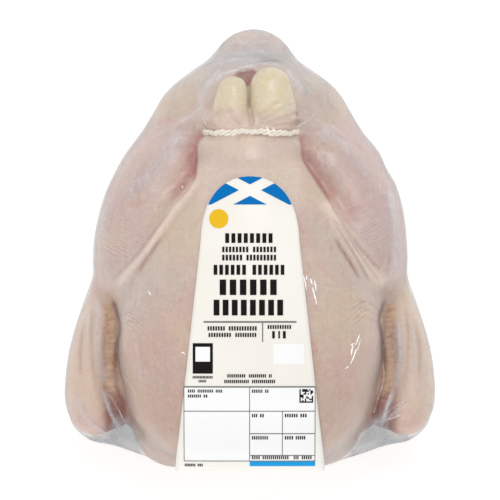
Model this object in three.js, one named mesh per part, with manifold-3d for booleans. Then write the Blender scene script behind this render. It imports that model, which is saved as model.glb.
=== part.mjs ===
// A whole raw chicken in a tight clear bag, lying on its back with its tied legs away from the viewer.
// Millimetres. +X is to the bird's side, +Y is towards its tail, +Z is up, and the origin is on the
// floor under the middle of the back. The bag follows the bird closely, so its solid is the bird's own
// form, with the film stretched across the gaps. The paper label is a thin curved plate on the breast.
import * as THREE from "three";
import { mergeVertices } from "three/addons/utils/BufferGeometryUtils.js";
import Module from "manifold-3d";

// Driving sizes of the bird.
const LENGTH = 251;
const WIDTH = 210;
const HEIGHT = 120;

// The stations below are places along each part of a bird of this nominal size, as x, y, z and radius.
const NOMINAL = { length: 251, width: 210, height: 120 };
const BREAST = [
  [23, -73, 58, 48],
  [24, -42, 63, 51],
  [20, -6, 64, 46],
  [14, 22, 66, 35],
  [10, 44, 67, 23],
  [10, 62, 69, 19],
];
const KEEL = [
  [0, -76, 66, 36],
  [0, -38, 77, 39],
  [0, 15, 77, 31],
  [0, 44, 72, 23],
  [0, 62, 72, 18],
];
const LEFT_THIGH = [
  [50, 0, 42, 34.5],
  [42, 27, 42, 36],
  [37, 49, 41, 29.5],
  [28.5, 71, 38, 25.5],
];
const RIGHT_THIGH = [
  [51, 0, 42, 34.5],
  [46, 27, 42, 36.5],
  [39, 50, 41, 29.5],
  [30.5, 72, 38, 25.5],
];
const DRUMSTICK = [
  [64, -8, 60, 22],
  [59, 16, 62, 24],
  [47, 42, 61, 20],
  [32, 58, 66, 14],
  [15, 70, 80, 12],
];
const LEFT_HOCK = [
  [13, 71, 82, 11.5],
  [11.5, 86.5, 87, 12.3],
];
const RIGHT_HOCK = [
  [13, 71, 82, 12],
  [14, 89.5, 88, 14.5],
];
const UPPER_ARM = [
  [60, -94, 48, 17],
  [74, -66, 40, 12],
  [79, -30, 40, 11],
];
const FOREARM = [
  [79.5, -25, 42, 10.5],
  [85.5, -42, 42, 11.7],
  [90.3, -62, 41, 12.3],
  [91.5, -82, 40, 13],
  [88, -92, 38, 14],
];
const HAND = [
  [83, -96, 36, 9.5],
  [76, -96, 38, 9],
  [68, -88, 38, 8],
];
// Film stretched low across the corner between a wing and the neck end.
const CORNER_WEB = [
  [83, -99.5, 30, 8],
  [63.5, -107, 30, 8],
  [39, -114.5, 30, 8],
];
// The pinched elastic that ties the two hocks together, as a low ridge under the film.
const TIE = [
  [-25, 66.5, 84, 3],
  [-12, 66.5, 93, 3],
  [0, 66.5, 93.5, 3],
  [13, 66.5, 93.5, 3],
  [27, 66.5, 84, 3],
];
const TORSO = { centre: [0, -22, 40], radii: [77, 99, 48] };
const PELVIS = { centre: [1, 70, 36], radii: [46, 39, 33] };
// Film stretched like a tent from the hocks down to the thighs and the tail.
const TENT = { centre: [1, 85, 57], radii: [38, 26, 34] };
const TAIL = { centre: [2, 101, 34], radii: [23.2, 23.6, 20] };

// How softly neighbouring parts run into each other, as the width of the joint between them.
const BLEND = {
  breast: 14,
  keel: 16,
  pelvis: 14,
  tail: 8,
  leg: 18,
  hock: 10,
  limb: 10,
  wing: 8,
  web: 8,
  tie: 2,
};
const WING_TALLNESS = 1.45;
const WEB_TALLNESS = 1.6;
const FILM_OFFSET = 0.6;

// The bag's mesh: an icosahedron split this often, drawn in along rays to the film.
const BAG_DETAIL = 21;
const RAY_CENTRE = new THREE.Vector3(0, -10, 44);
const RAY_SHAPE = new THREE.Vector3(100, 122, 62);
const RAY_REACH = 190;
const WELD = 1e-4;

// The label, with its places along the bird as y and its half widths across it.
const LABEL = {
  top: 41.7,
  shoulder: 25.6,
  side: 5.7,
  turnAt: -90,
  front: -125,
  lip: 50,
  stiffFrom: 0.7,
  stiffTo: 1.4,
  tipHalf: 4,
  shoulderHalf: 23.9,
  sideHalf: 27.8,
  frontHalf: 42.3,
  gap: 0.5,
  thickness: 0.5,
  rows: 26,
  turnedRows: 14,
  columns: 12,
};

const scale = new THREE.Vector3(WIDTH / NOMINAL.width, LENGTH / NOMINAL.length, HEIGHT / NOMINAL.height);

const softMin = (a, b, k) => {
  const h = Math.max(k - Math.abs(a - b), 0) / k;
  return Math.min(a, b) - (h * h * k) / 4;
};

// A ball stretched to three radii, as a function that tells how far a point is from its surface. It is
// true close to the surface, which is where it is used.
const ellipsoid = ({ centre, radii }) => {
  const [cx, cy, cz] = centre;
  const [rx, ry, rz] = radii;
  return (x, y, z) => {
    const [px, py, pz] = [(x - cx) / rx, (y - cy) / ry, (z - cz) / rz];
    const outer = Math.hypot(px, py, pz);
    const inner = Math.hypot(px / rx, py / ry, pz / rz);
    return (outer * (outer - 1)) / Math.max(inner, 1e-9);
  };
};

// One coordinate of a Catmull-Rom curve and its slope, at t between b and c.
const spline = (a, b, c, d, t) => {
  const e1 = c - a;
  const e2 = 2 * a - 5 * b + 4 * c - d;
  const e3 = 3 * b - a - 3 * c + d;
  return [(2 * b + t * (e1 + t * (e2 + t * e3))) / 2, (e1 + t * (2 * e2 + 3 * t * e3)) / 2];
};

// Distance from the round skin over a line of spheres whose centres and radii run smoothly from station
// to station. side mirrors it, and tallness stretches it upwards.
const limb = (stations, side = 1, tallness = 1) => {
  const own = stations.map(([x, y, z, r]) => [side * x, y, z / tallness, r]);
  const phantom = (p, q) => p.map((v, i) => 2 * v - q[i]);
  const knots = [phantom(own[0], own[1]), ...own, phantom(own.at(-1), own.at(-2))];
  const last = own.length - 1;
  const at = (u) => {
    const i = Math.min(Math.floor(u), last - 1);
    return [0, 1, 2, 3].map((k) => spline(knots[i][k], knots[i + 1][k], knots[i + 2][k], knots[i + 3][k], u - i));
  };
  const halves = Array.from({ length: 2 * last + 1 }, (_, i) => at(i / 2).map(([value]) => value));
  return (x, y, zTrue) => {
    const z = zTrue / tallness;
    let u = 0;
    let best = Infinity;
    for (let i = 0; i < 2 * last; i++) {
      const [ax, ay, az] = halves[i];
      const [bx, by, bz] = [halves[i + 1][0] - ax, halves[i + 1][1] - ay, halves[i + 1][2] - az];
      const along = ((x - ax) * bx + (y - ay) * by + (z - az) * bz) / (bx * bx + by * by + bz * bz);
      const t = Math.min(Math.max(along, 0), 1);
      const d = Math.hypot(x - ax - t * bx, y - ay - t * by, z - az - t * bz);
      if (d < best) {
        best = d;
        u = (i + t) / 2;
      }
    }
    for (let turn = 0; turn < 2; turn++) {
      const [cx, cy, cz, r] = at(u);
      const [dx, dy, dz] = [cx[0] - x, cy[0] - y, cz[0] - z];
      const downhill = dx * cx[1] + dy * cy[1] + dz * cz[1] - r[1] * Math.hypot(dx, dy, dz);
      u -= downhill / (cx[1] ** 2 + cy[1] ** 2 + cz[1] ** 2);
      u = Math.min(Math.max(u, 0), last);
    }
    const [cx, cy, cz, r] = at(u);
    return Math.hypot(cx[0] - x, cy[0] - y, cz[0] - z) - r[0];
  };
};

// The film's distance field at nominal size, built up from the carcass outwards.
function bagField() {
  const pair = (stations, tallness) => [-1, 1].map((side) => limb(stations, side, tallness));
  const torso = ellipsoid(TORSO);
  const pelvis = ellipsoid(PELVIS);
  const tail = ellipsoid(TAIL);
  const keel = limb(KEEL);
  const tie = limb(TIE);
  const breasts = pair(BREAST);
  const tent = ellipsoid(TENT);
  const thighs = [limb(LEFT_THIGH, -1), limb(RIGHT_THIGH, 1)];
  const drumsticks = pair(DRUMSTICK);
  const hocks = [limb(LEFT_HOCK, -1), limb(RIGHT_HOCK, 1)];
  const upperArms = pair(UPPER_ARM);
  const forearms = pair(FOREARM, WING_TALLNESS);
  const hands = pair(HAND);
  const webs = pair(CORNER_WEB, WEB_TALLNESS);
  return (x, y, z) => {
    let d = torso(x, y, z);
    for (const breast of breasts) d = softMin(d, breast(x, y, z), BLEND.breast);
    d = softMin(d, keel(x, y, z), BLEND.keel);
    d = softMin(d, pelvis(x, y, z), BLEND.pelvis);
    d = softMin(d, tail(x, y, z), BLEND.tail);
    d = softMin(d, tent(x, y, z), BLEND.web);
    for (const i of [0, 1]) {
      const thighAndDrumstick = softMin(thighs[i](x, y, z), drumsticks[i](x, y, z), BLEND.leg);
      const leg = softMin(thighAndDrumstick, hocks[i](x, y, z), BLEND.hock);
      d = softMin(d, leg, BLEND.limb);
      const arm = softMin(upperArms[i](x, y, z), forearms[i](x, y, z), BLEND.wing);
      const wing = softMin(arm, hands[i](x, y, z), BLEND.wing);
      d = softMin(d, wing, BLEND.limb);
      d = softMin(d, webs[i](x, y, z), BLEND.web);
    }
    return softMin(d, tie(x, y, z), BLEND.tie) - FILM_OFFSET;
  };
}

const nominalField = bagField();
const field = (p) => nominalField(p.x / scale.x, p.y / scale.y, p.z / scale.z);

// The outermost point, at level outside the film, on the ray that leaves an inner origin.
function drape(origin, outward, level) {
  const p = origin.clone().addScaledVector(outward, RAY_REACH);
  const longest = 12;
  const nearEnough = 0.02;
  const sure = 0.8;
  let left = field(p) - level;
  while (left > nearEnough) {
    p.addScaledVector(outward, -Math.min(left * sure, longest));
    left = field(p) - level;
  }
  return p;
}

// Closed geometry with its shared vertices merged, as a solid that can be cut.
const wasm = await Module();
wasm.setup();

function solidOf(geometry) {
  const bare = new THREE.BufferGeometry();
  bare.setAttribute("position", geometry.getAttribute("position"));
  bare.setIndex(geometry.index);
  const merged = mergeVertices(bare, WELD);
  const vertProperties = new Float32Array(merged.getAttribute("position").array);
  return new wasm.Manifold(new wasm.Mesh({ numProp: 3, vertProperties, triVerts: new Uint32Array(merged.index.array) }));
}

function geometryOf(solid) {
  const made = solid.getMesh();
  const geometry = new THREE.BufferGeometry();
  geometry.setAttribute("position", new THREE.BufferAttribute(made.vertProperties, 3));
  geometry.setIndex(new THREE.BufferAttribute(made.triVerts, 1));
  geometry.computeVertexNormals();
  return geometry;
}

// The bag: a ball drawn in from all sides onto the film, then cut flat where it lies on the floor.
function bagGeometry() {
  const ball = new THREE.IcosahedronGeometry(1, BAG_DETAIL);
  ball.deleteAttribute("normal");
  ball.deleteAttribute("uv");
  const merged = mergeVertices(ball, WELD);
  const place = merged.getAttribute("position");
  for (let i = 0; i < place.count; i++) {
    const outward = new THREE.Vector3().fromBufferAttribute(place, i).multiply(RAY_SHAPE).normalize();
    const found = drape(RAY_CENTRE, outward, 0);
    place.setXYZ(i, found.x, found.y, found.z);
  }
  const below = new THREE.BoxGeometry(2 * WIDTH, 2 * LENGTH, HEIGHT).translate(0, 0, -HEIGHT / 2);
  return geometryOf(solidOf(merged).subtract(solidOf(below)));
}

// Half the label's width at y: a round top, then straight sides that widen towards the neck end.
function labelHalfWidth(y) {
  const { top, shoulder, side, shoulderHalf, sideHalf, frontHalf, front } = LABEL;
  if (y >= shoulder) {
    const rise = top - shoulder;
    const radius = (shoulderHalf ** 2 + rise ** 2) / (2 * rise);
    return Math.sqrt(Math.max(radius ** 2 - (y - top + radius) ** 2, 0));
  }
  if (y >= side) {
    const t = (shoulder - y) / (shoulder - side);
    return shoulderHalf + (sideHalf - shoulderHalf) * (2 * t - t * t);
  }
  return sideHalf + ((frontHalf - sideHalf) * (side - y)) / (side - front);
}

// A point of the label at level above the film. turn is how far the label has turned over the front: at 0
// it lies on the breast, and at a right angle it hangs down the neck end, straight across as paper does.
function labelPoint(x, y, turn, level) {
  const outward = new THREE.Vector3(0, -Math.sin(turn), Math.cos(turn));
  const point = drape(new THREE.Vector3(x, y, LABEL.lip), outward, level);
  const stiffness = THREE.MathUtils.smoothstep(turn, LABEL.stiffFrom, LABEL.stiffTo);
  const straight = Math.min(point.y, LABEL.front + LABEL.gap - level);
  point.y += (straight - point.y) * stiffness;
  return point;
}

// Faces of two like grids of points, the lower one first, with a rim that joins their edges.
function plateFaces(across, down) {
  const upper = across * down;
  const index = [];
  const quad = (a, b, c, d) => index.push(a, b, c, a, c, d);
  for (let i = 0; i + 1 < down; i++) {
    for (let j = 0; j + 1 < across; j++) {
      const a = i * across + j;
      quad(a, a + 1, a + across + 1, a + across);
      quad(upper + a, upper + a + across, upper + a + across + 1, upper + a + 1);
    }
  }
  const rim = [];
  for (let j = 0; j < across; j++) rim.push(j);
  for (let i = 1; i < down; i++) rim.push(i * across + across - 1);
  for (let j = across - 2; j >= 0; j--) rim.push((down - 1) * across + j);
  for (let i = down - 2; i > 0; i--) rim.push(i * across);
  rim.forEach((a, i) => {
    const b = rim[(i + 1) % rim.length];
    quad(b, a, upper + a, upper + b);
  });
  return index;
}

// The label: two draped sheets, thickness apart, closed along their edge.
function labelGeometry() {
  const { top, turnAt, gap, thickness, rows, turnedRows, columns, tipHalf } = LABEL;
  const rowPlaces = [];
  for (let i = 0; i <= rows; i++) rowPlaces.push([top + ((turnAt - top) * i) / rows, 0]);
  for (let i = 1; i <= turnedRows; i++) rowPlaces.push([turnAt, ((Math.PI / 2) * i) / turnedRows]);
  const sheet = (level) =>
    rowPlaces.flatMap(([y, turn]) => {
      const half = Math.max(labelHalfWidth(labelPoint(0, y, turn, level).y), tipHalf);
      return Array.from({ length: columns + 1 }, (_, j) => labelPoint(half * ((2 * j) / columns - 1), y, turn, level));
    });
  const points = [...sheet(gap), ...sheet(gap + thickness)].flatMap((p) => [p.x, p.y, p.z]);
  const geometry = new THREE.BufferGeometry();
  geometry.setAttribute("position", new THREE.Float32BufferAttribute(points, 3));
  geometry.setIndex(plateFaces(columns + 1, rowPlaces.length));
  geometry.computeVertexNormals();
  return geometry;
}

const film = new THREE.MeshStandardMaterial({ color: 0xdcc7b9, roughness: 0.3, metalness: 0 });
const paper = new THREE.MeshStandardMaterial({ color: 0xf6f2e9, roughness: 0.6, metalness: 0 });

const chicken = new THREE.Group();
const bag = new THREE.Mesh(bagGeometry(), film);
bag.name = "bagged_chicken";
const label = new THREE.Mesh(labelGeometry(), paper);
label.name = "label";
chicken.add(bag, label);

export default chicken;
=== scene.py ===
import math
import bpy
import numpy as np
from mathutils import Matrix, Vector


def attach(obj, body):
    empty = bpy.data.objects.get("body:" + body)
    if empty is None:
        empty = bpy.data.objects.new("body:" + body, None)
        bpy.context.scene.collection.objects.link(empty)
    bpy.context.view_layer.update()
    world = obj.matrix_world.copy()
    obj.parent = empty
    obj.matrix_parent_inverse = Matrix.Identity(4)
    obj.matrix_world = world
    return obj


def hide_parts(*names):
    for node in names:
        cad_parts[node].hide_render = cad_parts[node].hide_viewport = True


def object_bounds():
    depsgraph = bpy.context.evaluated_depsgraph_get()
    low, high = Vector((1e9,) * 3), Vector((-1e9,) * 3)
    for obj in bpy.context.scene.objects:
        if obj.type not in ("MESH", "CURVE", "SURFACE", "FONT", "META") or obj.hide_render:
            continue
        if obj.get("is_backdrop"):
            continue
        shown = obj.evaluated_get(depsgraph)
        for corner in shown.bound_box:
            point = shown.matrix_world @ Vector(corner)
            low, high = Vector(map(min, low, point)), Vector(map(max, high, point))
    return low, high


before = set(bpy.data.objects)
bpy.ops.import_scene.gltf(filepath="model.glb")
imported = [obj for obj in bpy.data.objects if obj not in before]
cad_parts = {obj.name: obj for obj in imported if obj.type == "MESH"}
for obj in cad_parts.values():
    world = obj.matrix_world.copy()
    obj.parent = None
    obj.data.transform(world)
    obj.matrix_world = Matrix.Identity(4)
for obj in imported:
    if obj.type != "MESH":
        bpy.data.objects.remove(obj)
cad_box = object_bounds()

# The bird is worked out in millimetres at this nominal size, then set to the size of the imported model.
NOMINAL_SIZE = np.array([210.23, 250.68, 120.25])
NOMINAL_LOW = np.array([-105.11, -125.5, 0.0])

# The photograph looks straight down, with its middle over the middle of the bird.
PHOTO_PIXELS = 500
PHOTO_MIDDLE = 250
MM_PER_PIXEL = 0.568
CAMERA_HEIGHT = 8.0

# Mesh fineness in millimetres.
BIRD_STEP = 1.25
FILM_STEP = 1.4

# Places along each part of the bird: x, y, z and radius. A side part is given for the bird's +X side.
BREAST = [
    (23, -73, 58, 48), (24, -42, 63, 51), (20, -6, 64, 46),
    (14, 22, 66, 35), (10, 44, 67, 23), (10, 62, 69, 19),
]
KEEL = [(0, -76, 66, 36), (0, -38, 77, 39), (0, 15, 77, 31), (0, 44, 72, 23), (0, 62, 72, 18)]
LEFT_THIGH = [(50, 0, 42, 34.5), (42, 27, 42, 36), (37, 49, 41, 29.5), (28.5, 71, 38, 25.5)]
RIGHT_THIGH = [(51, 0, 42, 34.5), (46, 27, 42, 36.5), (39, 50, 41, 29.5), (30.5, 72, 38, 25.5)]
DRUMSTICK = [(64, -8, 60, 22), (59, 16, 62, 24), (47, 42, 61, 20), (32, 58, 66, 14), (15, 70, 80, 12)]
LEFT_HOCK = [(13, 71, 82, 11.5), (11.5, 86.5, 87, 12.3)]
RIGHT_HOCK = [(13, 71, 82, 12), (14, 89.5, 88, 14.5)]
LEFT_KNOB = [(12.5, 67, 80, 11), (11.2, 74, 83, 11.3), (10.2, 82, 85, 10.4), (9.4, 89.4, 85, 8.8)]
RIGHT_KNOB = [(13, 67, 80, 12), (13.4, 76, 84, 13.2), (12.4, 85, 86, 12.6), (11.6, 92, 86, 11.4)]
SHANK = [*DRUMSTICK[:3], (28.5, 57, 66, 13.5), (13.5, 68, 79, 10.5)]
UPPER_ARM = [(60, -94, 48, 17), (74, -66, 40, 12), (79, -30, 40, 11)]
FOREARM = [
    (79.5, -25, 42, 10.5), (85.5, -42, 42, 11.7), (90.3, -62, 41, 12.3),
    (91.5, -82, 40, 13), (88, -92, 38, 14),
]
HAND = [(83, -96, 36, 9.5), (76, -96, 38, 9), (68, -88, 38, 8)]
BIRD_UPPER_ARM = [(58, -88, 48, 15.8), *UPPER_ARM[1:]]
BIRD_FOREARM = [*FOREARM[:4], (88.3, -91, 38, 13.8)]
BIRD_HAND = [(83, -91.5, 36, 9.5), (76, -91.5, 38, 9), (68, -86, 38, 8)]
FILM_WING = (UPPER_ARM, FOREARM, HAND)
BIRD_WING = (BIRD_UPPER_ARM, BIRD_FOREARM, BIRD_HAND)
CORNER_WEB = [(83, -99.5, 30, 8), (63.5, -107, 30, 8), (39, -114.5, 30, 8)]
TIE_Y = 66.5
TIE_RIDGE = [(x, TIE_Y, z, 3) for x, z in ((-25, 84), (-12, 93), (0, 93.5), (13, 93.5), (27, 84))]
TORSO = ((0, -22, 40), (77, 99, 48))
PELVIS = ((1, 70, 36), (46, 39, 33))
TENT = ((1, 85, 57), (38, 26, 34))
TAIL = ((2, 101, 34), (23.2, 23.6, 20))
RUMP = ((1, 84, 43), (37, 26, 34))
NECK_END = [(-42.5, -99, 33, 23.8), (0, -99, 35, 23), (39.5, -99, 33, 22.7)]
UNDERARM = [(74, -14, 46, 7), (78, -40, 47, 8), (79, -66, 46, 8), (76, -86, 42, 8)]
VENT = ((-1.6, 98, 70), (5.8, 4.2, 12))
WING_TALLNESS = 1.45
WEB_TALLNESS = 1.6
FILM_OFFSET = 0.6
FILM_GAP = 0.25
BIRD_LIFT = 0.7
FLANK_SWELL = 0.4
SHOULDER_RUN = (-48, -26)

# How softly limbs run into each other: closely on the bird, and loosely where the film spans them.
CORE_BLEND = {"breast": 14, "keel": 16, "pelvis": 14, "tail": 8, "rump": 8, "neck": 12}
BIRD_BLEND = {"leg": 13, "hock": 4, "limb": 4, "wing": 3}
FLANK_BLEND = {"leg": 17, "hock": 4, "limb": 10, "wing": 10}
FILM_BLEND = {"leg": 18, "hock": 10, "limb": 10, "wing": 8}
WEB_BLEND = 8
TENT_BLEND = 15
TIE_BLEND = 2
REST_BLEND = 2
CLING_BLEND = 1.5

# Skin folds from the leg to the breast, and the sharp lines beside them, as photograph pixels.
LEFT_FOLD = [(200, 172), (190, 189), (177, 206), (161, 229), (148, 247), (136, 262), (125, 277), (115, 291)]
LEFT_FOLD_SPLIT = [(176, 202), (158, 226), (145, 244), (132, 260), (119, 274), (109, 286)]
LEFT_FOLD_LINE = [(168, 230), (158, 243), (149, 256), (141, 267), (134, 275)]
RIGHT_FOLD = [(322, 196), (334, 214), (348, 236), (362, 257), (374, 273), (388, 290)]
RIGHT_FOLD_SPLITS = [
    [(330, 214), (344, 238), (357, 260), (370, 284)],
    [(334, 214), (350, 239), (365, 262), (382, 286)],
    [(340, 220), (354, 240), (369, 260), (386, 280)],
]
RIGHT_FOLD_LINE = [(334, 236), (342, 250), (351, 265), (361, 282)]
RIGHT_FOLD_EDGE = [(350, 236), (359, 248), (368, 257), (376, 266), (383, 269)]

# Grooves between the belly skin and the legs: sharp on the belly's side and soft on the leg's.
LEFT_GROOVE = [(207, 135), (200, 141), (197, 149), (197, 163), (195, 180), (185, 195), (173, 211)]
RIGHT_GROOVE = [
    (297, 134), (300, 144), (303, 160), (312, 176), (324, 194), (334, 211), (345, 228), (352, 238),
]
HOCK_DIVIDE = [(247, 80), (249, 92), (249, 105), (251, 118), (252, 130)]
HOCK_FOLDS = [
    [(254, 127), (275, 122), (299, 113)],
    [(256, 123), (274, 115), (294, 104)],
    [(256, 118), (268, 110), (282, 102)],
    [(262, 128), (282, 126), (303, 122)],
    [(228, 110), (236, 120), (245, 127)],
    [(214, 116), (224, 112), (238, 111)],
]
WING_LINES = [
    [
        (110, 295), (115, 306), (119, 320), (120, 330), (117, 346),
        (116, 366), (116, 385), (120, 400), (125, 412),
    ],
    [
        (386, 296), (382, 307), (379, 320), (381, 334), (383, 352),
        (384, 374), (382, 392), (378, 408), (374, 422),
    ],
]
WING_FOLDS = [
    [(84, 318), (80, 350), (82, 384)],
    [(95, 300), (92, 330), (93, 366), (98, 396)],
    [(106, 318), (104, 346), (106, 376)],
    [(415, 318), (420, 350), (418, 384)],
    [(405, 300), (408, 330), (407, 366), (402, 396)],
    [(394, 318), (396, 346), (394, 376)],
]
ARMPIT_FOLDS = [
    [(120, 318), (128, 312), (138, 310)],
    [(121, 324), (131, 320), (143, 320)],
    [(380, 312), (370, 303), (352, 300)],
    [(380, 318), (366, 309), (346, 308)],
    [(381, 324), (370, 318), (356, 316)],
]
TIE_MIDDLE_X = 2.3

# How the elastic pinches the shanks: where their outer sides set in, and depth and width with what these add.
PINCH_OUTER = (17, 27)
PINCH_DEPTH = (1.6, 4.5)
PINCH_WIDTH = (2.2, 2.6)

# The heights between which the bird's upper skin, the skin at the tie and the wing's top set in.
UPPER_SKIN = (50, 66)
TIE_SKIN = (66, 74)
WING_TOP = (36, 44)

# Lines on the skin: path, strength, width in millimetres, and the share that fades out at each end.
# In relief the strength is a height in millimetres, and below 0 the line cuts in.
END_FADE = 0.12
RELIEF_LINES = [
    (LEFT_FOLD, 1.8, 2.6, END_FADE),
    (RIGHT_FOLD, 2.6, 5.6, END_FADE),
    (LEFT_FOLD_SPLIT, -0.8, 1.0, END_FADE),
    (LEFT_FOLD_LINE, -0.3, 1.0, 0.3),
    (RIGHT_FOLD_LINE, -0.2, 0.9, 0.3),
    (RIGHT_FOLD_EDGE, -0.6, 1.1, END_FADE),
    (HOCK_DIVIDE, -1.6, 1.1, END_FADE),
    *[(path, -0.9, 0.9, END_FADE) for path in RIGHT_FOLD_SPLITS],
    *[(path, -1.3, 1.2, END_FADE) for path in HOCK_FOLDS],
]
WING_RELIEF = [(path, -1.1, 1.1, 0.2) for path in WING_LINES]
# Painted shade: dark lines along the creases, the fold edges and the divide between the knobs, where the
# relief is too fine to shade itself.
PAINTED_SHADE_LINES = [
    (LEFT_FOLD_LINE, 0.8, 0.9, 0.3),
    (RIGHT_FOLD_LINE, 1.0, 0.9, 0.2),
    (RIGHT_FOLD_EDGE, 0.6, 1.0, 0.2),
    (HOCK_DIVIDE, 0.9, 0.9, END_FADE),
    *[(path, 0.4, 0.8, 0.3) for path in (LEFT_FOLD_SPLIT, *RIGHT_FOLD_SPLITS, *ARMPIT_FOLDS)],
    *[(path, 0.6, 1.0, 0.3) for path in HOCK_FOLDS],
]
PALE_FOLDS = [(LEFT_FOLD, 1.0, 2.8, END_FADE), (RIGHT_FOLD, 1.0, 4.6, END_FADE)]
# Painted shadow: a dark line where the breast overlaps the wing, and painted shade in the wing's creases.
WING_EDGE_SHADOWS = [(path, 1.0, 1.1, 0.15) for path in WING_LINES]
WING_CREASE_SHADES = [(path, 0.3, 1.1, 0.3) for path in WING_FOLDS]

# Grooves: path, the leg's side, depth and width of the relief, and strength and width of the painted shade
# beside them.
GROOVES = ((LEFT_GROOVE, -1, 3.3, 8.0, 1.4, 5.4), (RIGHT_GROOVE, 1, 2.8, 10.0, 1.0, 6.4))
GROOVE_LIP = (-0.7, 0.9)
GROOVE_FADES = (0.1, 0.2)


def plan(points):
    """Photograph pixels as places on the bird, x and y in nominal millimetres."""
    p = np.asarray(points, float)
    return (p - PHOTO_MIDDLE) * MM_PER_PIXEL * np.array([1.0, -1.0])


def soft_min(a, b, k):
    """The smaller value, rounded off where the two are closer than k."""
    h = np.maximum(k - np.abs(a - b), 0.0) / k
    return np.minimum(a, b) - h * h * k * 0.25


def soft_max(a, b, k):
    return -soft_min(-a, -b, k)


def smooth_step(value, start, end):
    """0 before start and 1 after end, with a smooth rise between them. An end below start turns it round."""
    t = np.clip((value - start) / (end - start), 0.0, 1.0)
    return t * t * (3.0 - 2.0 * t)


def unit(vectors):
    """The same directions, each of length 1."""
    return vectors / np.linalg.norm(vectors, axis=1)[:, None]


def ellipsoid(p, centre, radii):
    """About the distance from an egg shape's skin, below 0 inside it."""
    q = (p - centre) / radii
    outer = np.linalg.norm(q, axis=1)
    inner = np.linalg.norm(q / radii, axis=1)
    return outer * (outer - 1.0) / np.maximum(inner, 1e-9)


def curve_at(knots, u):
    """Catmull-Rom values and slopes. knots has one extra row at each end."""
    i = np.clip(np.floor(u).astype(int), 0, len(knots) - 4)
    t = (u - i)[:, None]
    a, b, c, d = knots[i], knots[i + 1], knots[i + 2], knots[i + 3]
    e1, e2, e3 = c - a, 2 * a - 5 * b + 4 * c - d, 3 * b - a - 3 * c + d
    return 0.5 * (2 * b + t * (e1 + t * (e2 + t * e3))), 0.5 * (e1 + t * (2 * e2 + 3 * t * e3))


def padded(stations):
    """The stations with one more row at each end, for curve_at."""
    s = np.array(stations, float)
    return np.vstack([2 * s[0] - s[1], s, 2 * s[-1] - s[-2]])


def coarse_nearest(p, knots):
    """Parameter of the nearest point on a curve, by straight half steps."""
    last = len(knots) - 3
    steps = np.linspace(0, last, 2 * last + 1)
    corners = curve_at(knots, steps)[0][:, : p.shape[1]]
    best = np.full(len(p), 1e18)
    u = np.zeros(len(p))
    for k in range(len(steps) - 1):
        a = corners[k]
        along = corners[k + 1] - a
        t = np.clip((p - a) @ along / (along @ along), 0, 1)
        d = ((p - a - t[:, None] * along) ** 2).sum(1)
        closer = d < best
        best = np.where(closer, d, best)
        u = np.where(closer, (k + t) / 2, u)
    return u


# Distances beyond this many millimetres aren't worked out.
FAR = 26.0


def limb(p, stations, side=1, tall=1.0):
    """Distance from the skin over a line of balls that run smoothly from station to station.
    Points well away from it only get a distance that is large enough."""
    knots = padded([(side * x, y, z / tall, r) for x, y, z, r in stations])
    q = p / np.array([1, 1, tall])
    low = (knots[1:-1, :3] - knots[1:-1, 3:]).min(0) - FAR
    high = (knots[1:-1, :3] + knots[1:-1, 3:]).max(0) + FAR
    near = np.all((q > low) & (q < high), axis=1)
    out = np.full(len(p), FAR)
    q = q[near]
    u = coarse_nearest(q, knots)
    for _ in range(2):
        value, slope = curve_at(knots, u)
        away = value[:, :3] - q
        pull = (away * slope[:, :3]).sum(1) - slope[:, 3] * np.linalg.norm(away, axis=1)
        u = np.clip(u - pull / (slope[:, :3] ** 2).sum(1), 0, len(knots) - 3)
    value = curve_at(knots, u)[0]
    out[near] = np.linalg.norm(q - value[:, :3], axis=1) - value[:, 3]
    return out


def near_line(p, pixels):
    """Distance in plan from a curve through photograph pixels, which side of it each point is on, and how
    far along it. The side is 1 to the left of the curve's run, and -1 to the right."""
    knots = padded(plan(pixels))
    last = len(knots) - 3
    q = p[:, :2]
    near = np.all((q > knots.min(0) - FAR) & (q < knots.max(0) + FAR), axis=1)
    far, side, share = np.full(len(p), FAR), np.ones(len(p)), np.zeros(len(p))
    q = q[near]
    u = coarse_nearest(q, knots)
    for _ in range(2):
        value, slope = curve_at(knots, u)
        u = np.clip(u - ((value - q) * slope).sum(1) / (slope**2).sum(1), 0, last)
    value, slope = curve_at(knots, u)
    away = q - value
    far[near] = np.linalg.norm(away, axis=1)
    side[near] = np.sign(slope[:, 0] * away[:, 1] - slope[:, 1] * away[:, 0])
    share[near] = u / last
    return far, side, share


def line_mask(p, pixels, width, fade=END_FADE):
    """1 on a line and 0 away from it, fading out at the line's ends."""
    far, _, share = near_line(p, pixels)
    return np.exp(-((far / width) ** 2)) * smooth_step(share, 0, fade) * smooth_step(share, 1, 1 - fade)


def line_masks(p, lines):
    """One mask after another for lines given as path, strength, width and fade."""
    return (strength * line_mask(p, path, width, fade) for path, strength, width, fade in lines)


def strongest(masks):
    return np.max(list(masks), axis=0)


def groove_mask(p, pixels, leg_side, width):
    """1 just past a lip, fading slowly on the leg's side and at once on the other."""
    far, side, share = near_line(p, pixels)
    past = far * side * leg_side
    lip = smooth_step(past, *GROOVE_LIP) * np.exp(-((np.maximum(past, 0) / width) ** 2))
    return lip * smooth_step(share, 0, GROOVE_FADES[0]) * smooth_step(share, 1, 1 - GROOVE_FADES[1])


def waves(p, wavelength, seed, count=7):
    """Smooth unevenness between about -1 and 1, from a few waves in seeded directions."""
    draw = np.random.default_rng(seed)
    total = np.zeros(len(p))
    for _ in range(count):
        direction = draw.normal(size=3)
        direction /= np.linalg.norm(direction)
        length = wavelength * draw.uniform(0.7, 1.5)
        total += np.sin(p @ direction * (2 * math.pi / length) + draw.uniform(0, 2 * math.pi))
    return total / math.sqrt(count)


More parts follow.
